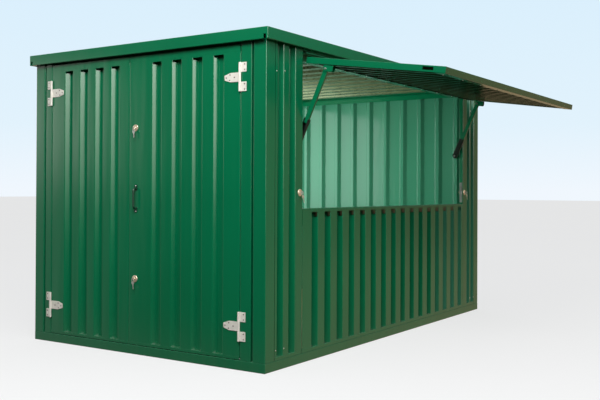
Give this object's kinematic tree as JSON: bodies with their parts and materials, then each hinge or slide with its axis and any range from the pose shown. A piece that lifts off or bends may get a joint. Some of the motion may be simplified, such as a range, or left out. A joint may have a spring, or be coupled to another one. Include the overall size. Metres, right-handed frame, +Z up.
{
  "type": "steel kiosk store",
  "caption": "Walk-in flat-pack steel store with double doors in one end and a top-hung serving hatch, held open by stays, in one long side.",
  "frame": {"origin": "on the ground under the middle of the floor, at the centre of the body's footprint, on the middle joist's underside", "axes": "+Z up, -Y towards the double doors, +X towards the serving hatch"},
  "size_m": [3.1191, 3.47, 2.095],
  "materials": {
    "green_paint": "semi-gloss green paint on pressed sheet steel",
    "floor_ply": "plain plywood",
    "bare_roof_sheet": "galvanised steel, left unpainted",
    "zinc_hinge": "pale zinc plate, satin",
    "lock_brass": "satin brass",
    "bright_steel": "bright nickel-plated steel",
    "black_steel": "satin black paint"
  },
  "bodies": {
    "store": {"base_rail_front": "green_paint", "base_rail_left": "green_paint", "base_rail_rear": "green_paint", "base_rail_right": "green_paint", "door_jamb_left": "green_paint", "door_jamb_right": "green_paint", "floor_board": "floor_ply", "floor_joist_front": "green_paint", "floor_joist_middle": "green_paint", "floor_joist_rear": "green_paint", "hatch_header": "green_paint", "hatch_jamb_far": "green_paint", "hatch_jamb_near": "green_paint", "hatch_sill": "green_paint", "hinge_plate_left_lower": "zinc_hinge", "hinge_plate_left_upper": "zinc_hinge", "hinge_plate_right_lower": "zinc_hinge", "hinge_plate_right_upper": "zinc_hinge", "post_front_left": "green_paint", "post_front_right": "green_paint", "post_rear_left": "green_paint", "post_rear_right": "green_paint", "roof_edge_front": "green_paint", "roof_edge_left": "green_paint", "roof_edge_rear": "green_paint", "roof_edge_right": "green_paint", "roof_sheet": "bare_roof_sheet", "wall_left": "green_paint", "wall_rear": "green_paint", "wall_right_front": "green_paint", "wall_right_lower": "green_paint", "wall_right_rear": "green_paint"},
    "left_leaf": {"left_leaf_sheet": "green_paint", "left_leaf_top": "green_paint", "hinge_strap_left_upper": "zinc_hinge", "hinge_strap_left_lower": "zinc_hinge"},
    "right_leaf": {"right_leaf_sheet": "green_paint", "right_leaf_top": "green_paint", "hinge_strap_right_upper": "zinc_hinge", "hinge_strap_right_lower": "zinc_hinge", "pull_handle": "green_paint", "door_lock_case_upper": "lock_brass", "door_lock_case_lower": "lock_brass"},
    "hatch": {"hatch_sheet": "green_paint", "hatch_hinge_rail": "green_paint", "hatch_free_rail": "green_paint", "stay_bracket_near": "green_paint", "stay_bracket_far": "green_paint"},
    "stay_sleeve_near": {"stay_sleeve_near": "black_steel"},
    "stay_arm_near": {"stay_arm_near": "green_paint"},
    "hatch_key_near": {"hatch_lock_key_near": "bright_steel"},
    "hatch_bolt_near": {"hatch_lock_bolt_near": "bright_steel"},
    "stay_sleeve_far": {"stay_sleeve_far": "black_steel"},
    "stay_arm_far": {"stay_arm_far": "green_paint"},
    "hatch_key_far": {"hatch_lock_key_far": "bright_steel"},
    "hatch_bolt_far": {"hatch_lock_bolt_far": "bright_steel"},
    "door_key_upper": {"door_lock_key_upper": "bright_steel"},
    "door_bolt_upper": {"door_lock_bolt_upper": "bright_steel"},
    "door_key_lower": {"door_lock_key_lower": "bright_steel"},
    "door_bolt_lower": {"door_lock_bolt_lower": "bright_steel"}
  },
  "joints": [
    {"name": "left_door_swing", "type": "hinge", "parent": "store", "child": "left_leaf", "pos_m": [-0.872, -1.7085, 1.04], "axis": [0, 0, -1], "range_deg": [0, 170]},
    {"name": "right_door_swing", "type": "hinge", "parent": "store", "child": "right_leaf", "pos_m": [0.856, -1.7085, 1.04], "axis": [0, 0, 1], "range_deg": [0, 170]},
    {"name": "hatch_swing", "type": "hinge", "parent": "store", "child": "hatch", "pos_m": [1.06, 0, 1.982], "axis": [0, 1, 0], "range_deg": [0, 82]},
    {"name": "stay_swing_near", "type": "hinge", "parent": "store", "child": "stay_sleeve_near", "pos_m": [0.99, -1.255, 1.424], "axis": [0, 1, 0], "range_deg": [-29, 0]},
    {"name": "stay_slide_near", "type": "slide", "parent": "stay_sleeve_near", "child": "stay_arm_near", "axis": [0.4204, 0, 0.9074], "range_m": [-0.11, 0]},
    {"name": "stay_swing_far", "type": "hinge", "parent": "store", "child": "stay_sleeve_far", "pos_m": [0.99, 1.301, 1.424], "axis": [0, 1, 0], "range_deg": [-29, 0]},
    {"name": "stay_slide_far", "type": "slide", "parent": "stay_sleeve_far", "child": "stay_arm_far", "axis": [0.4204, 0, 0.9074], "range_m": [-0.11, 0]},
    {"name": "door_key_turn_upper", "type": "hinge", "parent": "right_leaf", "child": "door_key_upper", "pos_m": [-0.033, -1.7, 1.526], "axis": [0, 1, 0], "range_deg": [0, 90]},
    {"name": "door_bolt_slide_upper", "type": "slide", "parent": "right_leaf", "child": "door_bolt_upper", "axis": [-1, 0, 0], "range_m": [0, 0.0182]},
    {"name": "door_key_turn_lower", "type": "hinge", "parent": "right_leaf", "child": "door_key_lower", "pos_m": [-0.033, -1.7, 0.509], "axis": [0, 1, 0], "range_deg": [0, 90]},
    {"name": "door_bolt_slide_lower", "type": "slide", "parent": "right_leaf", "child": "door_bolt_lower", "axis": [-1, 0, 0], "range_m": [0, 0.0182]},
    {"name": "hatch_key_turn_near", "type": "hinge", "parent": "store", "child": "hatch_key_near", "pos_m": [1.05, -1.327, 1.095], "axis": [-1, 0, 0], "range_deg": [0, 90]},
    {"name": "hatch_bolt_slide_near", "type": "slide", "parent": "store", "child": "hatch_bolt_near", "axis": [0, 1, 0], "range_m": [0, 0.0182]},
    {"name": "hatch_key_turn_far", "type": "hinge", "parent": "store", "child": "hatch_key_far", "pos_m": [1.05, 1.373, 1.095], "axis": [-1, 0, 0], "range_deg": [0, 90]},
    {"name": "hatch_bolt_slide_far", "type": "slide", "parent": "store", "child": "hatch_bolt_far", "axis": [0, -1, 0], "range_m": [0, 0.0182]}
  ],
  "couplings": [
    {"joint": "stay_swing_near", "follows": "hatch_swing", "ratio": -0.31183},
    {"joint": "stay_slide_near", "follows": "hatch_swing", "m_per_rad": -0.074876},
    {"joint": "stay_swing_far", "follows": "hatch_swing", "ratio": -0.31183},
    {"joint": "stay_slide_far", "follows": "hatch_swing", "m_per_rad": -0.074876},
    {"joint": "door_bolt_slide_upper", "follows": "door_key_turn_upper", "m_per_rad": 0.011459},
    {"joint": "door_bolt_slide_lower", "follows": "door_key_turn_lower", "m_per_rad": 0.011459},
    {"joint": "hatch_bolt_slide_near", "follows": "hatch_key_turn_near", "m_per_rad": 0.011459},
    {"joint": "hatch_bolt_slide_far", "follows": "hatch_key_turn_far", "m_per_rad": 0.011459}
  ]
}
